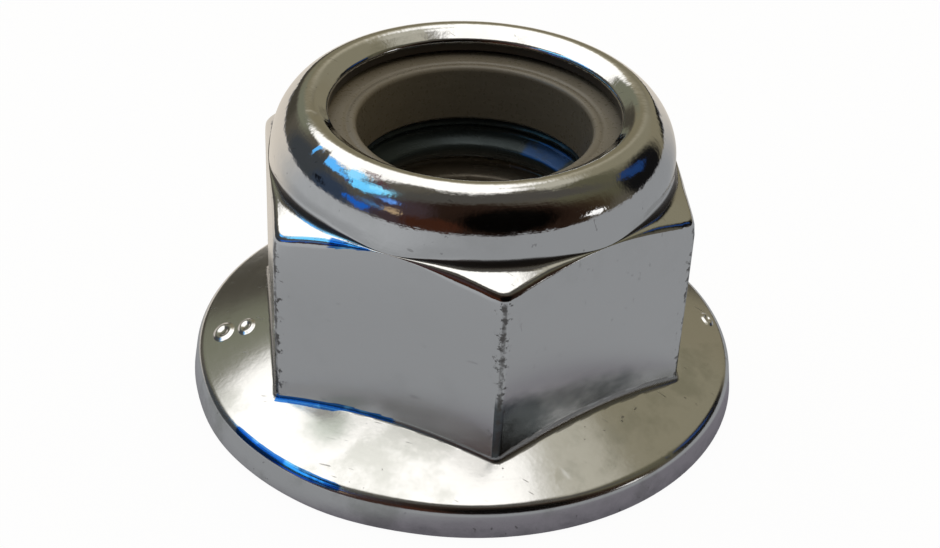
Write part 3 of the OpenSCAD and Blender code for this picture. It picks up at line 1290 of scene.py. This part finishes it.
@dataclass
class PhotoCamera:
    """The camera, as it was fitted to the outlines of the nut in the photograph."""

    azimuth: float = -68.97
    elevation: float = 33.64
    roll: float = 2.944
    distance: float = 60.85 * MM
    aim_right: float = 0.242 * MM
    aim_up: float = 2.948 * MM
    focal_pixels: float = 1781.8
    picture_width: float = 940.0
    sensor: float = 36.0

    def build(self) -> bpy.types.Object:
        """Makes the camera, which looks down its own back axis at the aimed point.

        Returns:
            The camera's object.
        """
        a, e = math.radians(self.azimuth), math.radians(self.elevation)
        back = Vector((math.cos(a) * math.cos(e), math.sin(a) * math.cos(e), math.sin(e)))
        level = Vector((-math.sin(a), math.cos(a), 0.0))
        upright = back.cross(level)
        tilt = math.radians(self.roll)
        right = math.cos(tilt) * level + math.sin(tilt) * upright
        up = math.cos(tilt) * upright - math.sin(tilt) * level
        data = bpy.data.cameras.new("photo_camera")
        data.sensor_width = self.sensor
        data.lens = self.focal_pixels / self.picture_width * self.sensor
        data.clip_start, data.clip_end = 1.0 * MM, 10.0
        made = bpy.data.objects.new("photo_camera", data)
        bpy.context.scene.collection.objects.link(made)
        matrix = Matrix((right, up, back)).transposed().to_4x4()
        matrix.translation = back * self.distance + right * self.aim_right + up * self.aim_up
        made.matrix_world = matrix
        bpy.context.scene.camera = made
        return made


@dataclass(frozen=True)
class Card:
    """A patch of light or dark that the steel mirrors, placed as seen from the nut.

    Azimuths count from the camera's side, and grow towards the right of the picture. All
    sizes are in degrees. The tilt turns the patch about its own middle.
    """

    azimuth: float
    elevation: float
    half_width: float
    half_height: float
    soft: float
    light: tuple[float, float, float]
    tilt: float = 0.0


@dataclass
class Surroundings:
    """The room that the steel mirrors: a dome of patches over a grey table.

    Only mirrored rays see it. The nut's own picture has a white background.
    """

    camera_azimuth: float = PhotoCamera.azimuth
    reach: float = 0.5
    step: float = 1.0
    ragged: float = 1.3
    table_drop: float = 0.01 * MM
    table_light: tuple = (0.335, 0.347, 0.362)
    far_table_light: tuple = (0.72, 0.66, 0.58)
    horizon_light: tuple = (0.30, 0.30, 0.31)
    horizon_height: float = 1.0
    shadow_tint: tuple = (0.60, 0.55, 0.60)
    hole_light: tuple = (0.006, 0.011, 0.013)
    hole_reach: float = 8.5 * MM
    base_light: tuple = (0.10, 0.09, 0.07)
    shadow_reach: float = 9.1 * MM
    shadow_length: float = 1.8 * MM
    shadow_side: float = 30.0
    far_side: float = 195.0
    soft_cards: tuple[Card, ...] = (
        Card(165.0, 45.0, 30.0, 17.0, 12.0, (0.62, 0.57, 0.44)),
        Card(130.0, 38.0, 34.0, 24.0, 10.0, (0.25, 0.23, 0.16)),
        Card(118.0, 66.0, 24.0, 8.0, 6.0, (0.50, 0.48, 0.40)),
        Card(150.0, 8.0, 36.0, 16.0, 8.0, (0.24, 0.215, 0.145)),
        Card(-175.0, 14.0, 16.0, 22.0, 10.0, (0.22, 0.195, 0.125)),
        Card(-148.0, 27.0, 18.0, 9.0, 6.0, (0.19, 0.195, 0.14)),
        Card(-152.0, 6.0, 18.0, 10.0, 5.0, (0.062, 0.056, 0.042)),
        Card(-104.0, 12.0, 22.0, 20.0, 6.0, (0.05, 0.056, 0.062)),
        Card(-80.0, 10.0, 14.0, 16.0, 6.0, (0.034, 0.05, 0.082)),
        Card(84.0, 38.0, 22.0, 24.0, 8.0, (0.10, 0.095, 0.060)),
        Card(66.0, 16.0, 16.0, 18.0, 8.0, (0.05, 0.036, 0.020)),
        Card(112.0, 14.0, 19.0, 20.0, 5.0, (0.006, 0.006, 0.0065)),
        Card(150.0, 3.0, 14.0, 4.0, 3.0, (0.006, 0.006, 0.0065)),
        Card(5.0, 20.0, 62.0, 38.0, 9.0, (0.022, 0.012, 0.008)),
        Card(-40.0, 22.0, 16.0, 26.0, 7.0, (0.055, 0.036, 0.040)),
        Card(-20.0, 12.0, 16.0, 12.0, 5.0, (0.050, 0.017, 0.009)),
        Card(22.0, 24.0, 26.0, 22.0, 7.0, (0.0012, 0.0010, 0.0008)),
        Card(15.0, 67.0, 50.0, 9.0, 8.0, (0.075, 0.07, 0.062)),
        Card(-150.0, 87.0, 16.5, 16.5, 4.0, (1.38, 1.36, 1.31)),
        Card(-138.0, 60.0, 31.0, 24.5, 3.5, (1.38, 1.36, 1.31)),
    )
    crisp_cards: tuple[Card, ...] = (
        Card(-97.0, 36.0, 11.0, 4.5, 1.5, (0.14, 0.60, 1.25), -8.0),
        Card(-86.0, 45.0, 8.0, 4.5, 1.5, (0.34, 0.90, 1.35), -50.0),
        Card(-70.0, 39.0, 11.0, 6.5, 1.5, (0.20, 0.82, 1.38), 25.0),
        Card(-62.0, 45.0, 6.0, 4.0, 1.5, (0.36, 1.05, 1.45), 40.0),
        Card(-80.0, 34.0, 3.0, 3.0, 1.2, (0.05, 0.035, 0.14)),
        Card(-49.0, 34.0, 5.0, 2.6, 1.2, (0.16, 0.42, 1.10)),
        Card(-78.0, 55.0, 14.0, 2.0, 1.4, (0.10, 0.02, 0.03), -20.0),
        Card(-63.0, 11.0, 9.0, 5.0, 1.4, (0.012, 0.13, 0.60), -20.0),
        Card(-54.0, 20.0, 7.0, 4.0, 3.0, (0.08, 0.20, 0.42), -20.0),
        Card(-43.0, 21.0, 3.5, 4.5, 1.5, (0.50, 0.36, 0.22), 20.0),
        Card(109.0, 24.0, 10.0, 5.5, 2.0, (0.012, 0.045, 0.16), -45.0),
        Card(69.0, 8.0, 6.0, 2.6, 1.0, (1.25, 1.25, 1.25)),
        Card(-90.0, 10.5, 2.5, 2.5, 1.0, (0.003, 0.004, 0.007)),
    )

    def light_from(self, azimuth: Array, elevation: Array) -> Array:
        """Lays the cards over each other and gives the light from each direction.

        The crisp cards are looked up at a direction that wanders by a sum of sines, so
        that their outlines are ragged. Below them lies the grey horizon.

        Args:
            azimuth: The azimuths from the camera's side, in degrees.
            elevation: The elevations, in degrees.

        Returns:
            Red, green and blue for each direction.
        """
        light = np.broadcast_to(np.array(self.base_light), azimuth.shape + (3,)).copy()
        for card in self.soft_cards:
            light = self.lay(light, card.light, self.card_share(card, azimuth, elevation))
        aside = np.sin(0.31 * azimuth + 1.9 * np.sin(0.23 * elevation + 0.7))
        aside += 0.6 * np.sin(0.83 * elevation - 0.47 * azimuth + 1.1 * np.sin(0.61 * azimuth))
        upward = np.sin(0.37 * elevation + 1.7 * np.sin(0.19 * azimuth + 2.1))
        upward += 0.6 * np.sin(0.71 * azimuth + 0.59 * elevation + 1.3 * np.sin(0.53 * elevation))
        wandered = (azimuth + self.ragged * aside, elevation + self.ragged * upward)
        for card in self.crisp_cards:
            light = self.lay(light, card.light, self.card_share(card, *wandered))
        below = smooth_step((self.horizon_height - elevation) / 2.0 + 0.5)
        return self.lay(light, self.horizon_light, below)

    def lay(self, light: Array, over: tuple, share: Array) -> Array:
        """Lays a light over another: a * (1 - share) + b * share."""
        return light * (1.0 - share[..., None]) + np.array(over) * share[..., None]

    def card_share(self, card: Card, azimuth: Array, elevation: Array) -> Array:
        """Gives how much of a card is seen in each direction, from 0 to 1.

        The direction is turned so that the card's middle lies straight ahead, and the
        distances from there are the angles to the side and up.

        Args:
            card: The card.
            azimuth: The azimuths, in degrees.
            elevation: The elevations, in degrees.

        Returns:
            The share.
        """
        a, e = radians(wrapped(azimuth - card.azimuth)), radians(elevation)
        tip, tilt = math.radians(card.elevation), math.radians(card.tilt)
        ahead = np.cos(e) * np.cos(a) * math.cos(tip) + np.sin(e) * math.sin(tip)
        side = np.cos(e) * np.sin(a)
        above = np.sin(e) * math.cos(tip) - np.cos(e) * np.cos(a) * math.sin(tip)
        scale = np.degrees(np.arccos(np.clip(ahead, -1.0, 1.0))) / (np.hypot(side, above) + 1e-9)
        along = (side * math.cos(tilt) + above * math.sin(tilt)) * scale / card.half_width
        across = (above * math.cos(tilt) - side * math.sin(tilt)) * scale / card.half_height
        size = math.sqrt(card.half_width * card.half_height)
        return smooth_step((1.0 - np.hypot(along, across)) * size / (2.0 * card.soft) + 0.5)

    def dome(self) -> bpy.types.Object:
        """Builds the dome: x = R cos e cos a, y = R cos e sin a, z = R sin e.

        Returns:
            The object.
        """
        azimuth = np.arange(0.0, 360.0, self.step)[None, :]
        elevation = np.arange(-4.0, 90.0 + self.step, self.step)[:, None]
        azimuth, elevation = np.broadcast_arrays(azimuth, elevation)
        light = self.light_from(azimuth, np.minimum(elevation, 90.0))
        turn = radians(azimuth + self.camera_azimuth)
        rise = radians(np.minimum(elevation, 89.9))
        points = self.reach * np.stack(
            [np.cos(rise) * np.cos(turn), np.cos(rise) * np.sin(turn), np.sin(rise)], axis=-1
        )
        return self.glowing("mirrored_room", points, light)

    def table(self) -> bpy.types.Object:
        """Builds the table's grey sheet, dark in the nut's shadow and under its hole.

        The shadow ends at shadow_reach, and shadow_length further out on its long side. The
        sheet is lighter towards the left of the camera, and pale and warm on the far side.

        Returns:
            The object.
        """
        azimuth = np.arange(0.0, 360.0, 2.0)[None, :]
        reach = np.geomspace(0.5 * MM, self.reach * 1.01, 150)[:, None]
        azimuth, reach = np.broadcast_arrays(azimuth, reach)
        turn = radians(azimuth + self.camera_azimuth)
        drop = np.full_like(reach, -self.table_drop)
        points = np.stack([reach * np.cos(turn), reach * np.sin(turn), drop], axis=-1)
        light = np.broadcast_to(np.array(self.table_light), azimuth.shape + (3,))
        lifted = smooth_step((reach - 14.0 * MM) / (14.0 * MM)) * smooth_step(0.2 - np.sin(radians(azimuth)))
        light = light * (0.92 + 0.36 * lifted)[..., None]
        far = smooth_step((72.0 - np.abs(azimuth - self.far_side)) / 40.0)
        light = self.lay(light, self.far_table_light, far)
        from_shadow = np.abs(wrapped(azimuth - self.shadow_side))
        edge = self.shadow_reach + self.shadow_length * smooth_step((80.0 - from_shadow) / 60.0)
        shadow = smooth_step((edge + 0.7 * MM - reach) / (1.4 * MM))[..., None]
        light = light * (1.0 - shadow + np.array(self.shadow_tint) * shadow)
        light = self.lay(light, self.hole_light, smooth_step((self.hole_reach - reach) / (2.0 * MM)))
        return self.glowing("mirrored_table", points, light)

    def glowing(self, name: str, points: Array, light: Array) -> bpy.types.Object:
        """Makes a stage object that gives its own light, to mirrored rays alone.

        Args:
            name: The object's name.
            points: Its points, as rows by columns by three.
            light: The light at each point.

        Returns:
            The object.
        """
        rows, columns = points.shape[:2]
        mesh = bpy.data.meshes.new(name)
        mesh.from_pydata(points.reshape(-1, 3), [], grid_quads(rows, columns))
        colour = mesh.color_attributes.new("light", "FLOAT_COLOR", "POINT")
        flat = np.concatenate([light.reshape(-1, 3), np.ones((rows * columns, 1))], axis=1)
        colour.data.foreach_set("color", flat.astype(np.float32).ravel())
        board = NodeBoard(bpy.data.materials.new(name + "_light"))
        seen = board.add("Attribute", attribute_name="light").outputs["Color"]
        mesh.materials.append(board.finish(board.add("Emission", {"Color": seen}).outputs[0]))
        made = bpy.data.objects.new(name, mesh)
        bpy.context.scene.collection.objects.link(made)
        made.visible_camera = made.visible_diffuse = made.visible_transmission = False
        made.visible_shadow = False
        return made


@dataclass
class Studio:
    """The pale floor and the soft light round the nut."""

    floor_reach: float = 3.0
    floor_drop: float = 0.02 * MM
    floor_colour: tuple = (0.9, 0.9, 0.9, 1.0)
    white_share: float = 0.96
    horizon_share: float = 0.1
    warm_side: float = 21.0
    warm_colour: tuple = (1.0, 0.86, 0.62, 1.0)
    front_share: float = 0.22
    back_share: float = 1.45

    def floor(self) -> bpy.types.Object:
        """Lays the floor, white to the camera where no shadow falls.

        Returns:
            The object.
        """
        reach, drop = self.floor_reach, -self.floor_drop
        mesh = bpy.data.meshes.new("floor")
        corners = [(-reach, -reach, drop), (reach, -reach, drop), (reach, reach, drop), (-reach, reach, drop)]
        mesh.from_pydata(corners, [], [(0, 1, 2, 3)])
        board = NodeBoard(bpy.data.materials.new("floor_finish"))
        share = board.math("MULTIPLY", board.sharp_rays(), self.white_share)
        matt = board.add("BsdfDiffuse", {"Color": self.floor_colour})
        white = board.add("Emission", {"Color": (1.0, 1.0, 1.0, 1.0), "Strength": 1.0})
        mixed = board.add("MixShader", {0: share, 1: matt.outputs[0], 2: white.outputs[0]})
        mesh.materials.append(board.finish(mixed.outputs[0]))
        made = bpy.data.objects.new("floor", mesh)
        bpy.context.scene.collection.objects.link(made)
        return made

    def world(self) -> None:
        """Fills the world with white, and with soft light from above for what isn't mirrored.

        The light falls from 1 overhead to horizon_share at the level of the table. It is
        weaker from in front of the nut, and warmer from the right of the camera.
        """
        board = NodeBoard(bpy.data.worlds.new("white_room"))
        upward = board.add("SeparateXYZ", {0: board.add("TexCoord").outputs["Generated"]}).outputs[2]
        soft = board.fade(upward, 0.0, 0.9, self.horizon_share, 1.0)
        away = self.towards(board, self.warm_side + 90.0)
        soft = board.math("MULTIPLY", soft, board.fade(away, -0.85, 0.2, self.front_share, self.back_share))
        rays = board.sharp_rays()
        strength = board.math("MAXIMUM", rays, soft)
        warm = board.fade(self.towards(board, self.warm_side), -0.6, 0.8)
        warm = board.math("MULTIPLY", warm, board.math("SUBTRACT", 1.0, rays))
        colour = board.tint(warm, (1.0, 1.0, 1.0, 1.0), self.warm_colour)
        white = board.add("Background", {"Color": colour, "Strength": strength})
        bpy.context.scene.world = board.finish(white.outputs[0])

    def towards(self, board: NodeBoard, azimuth: float) -> Socket:
        """Gives how far a direction points to an azimuth: their product, from -1 to 1.

        Args:
            board: The world's nodes.
            azimuth: The azimuth, in degrees.

        Returns:
            The product.
        """
        aim = (math.cos(math.radians(azimuth)), math.sin(math.radians(azimuth)), 0.0)
        place = board.add("TexCoord").outputs["Generated"]
        return board.add("VectorMath", {0: place, 1: aim}, operation="DOT_PRODUCT").outputs["Value"]

    def build(self) -> None:
        """Builds the floor, the mirrored room and the light."""
        self.floor()
        self.world()
        room = Surroundings()
        room.dome()
        room.table()


def dress(piece: bpy.types.Object, material: bpy.types.Material, node: str = "") -> None:
    """Gives a piece its material, lets it ride on the nut, and reports it.

    Args:
        piece: The finished piece.
        material: Its finish.
        node: The CAD node that it stands for, where it stands for one.
    """
    piece.data.materials.append(material)
    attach(piece, "root")
    if node:
        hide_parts(node)
    LOG.info("%s: %d faces, for %s", piece.name, len(piece.data.polygons), node or "the flange")


def main() -> None:
    """Builds the nut, the studio and the camera."""
    logging.basicConfig(level=logging.INFO, format="%(name)s: %(message)s")
    bpy.context.scene.view_settings.view_transform = "Standard"
    steel = PlatedSteel().material()
    body = NutBody(*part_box("nut_body"))
    dress(body.build(), steel, "nut_body")
    ring = NylonInsert(*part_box("nylon_insert"))
    dress(ring.build(), DullNylon().material(), "nylon_insert")
    marks = (
        RaisedMark("raised_mark_outer", -151.8, 8.05 * MM, 0.40 * MM, 0.52 * MM),
        RaisedMark("raised_mark_inner", -150.6, 7.29 * MM, 0.33 * MM, 0.46 * MM),
        RaisedMark("raised_mark_right", 30.5, 8.42 * MM, 0.24 * MM, 0.40 * MM),
    )
    for mark in marks:
        dress(mark.build(body), steel)
    Studio().build()
    PhotoCamera().build()


if __name__ == "__main__":
    main()
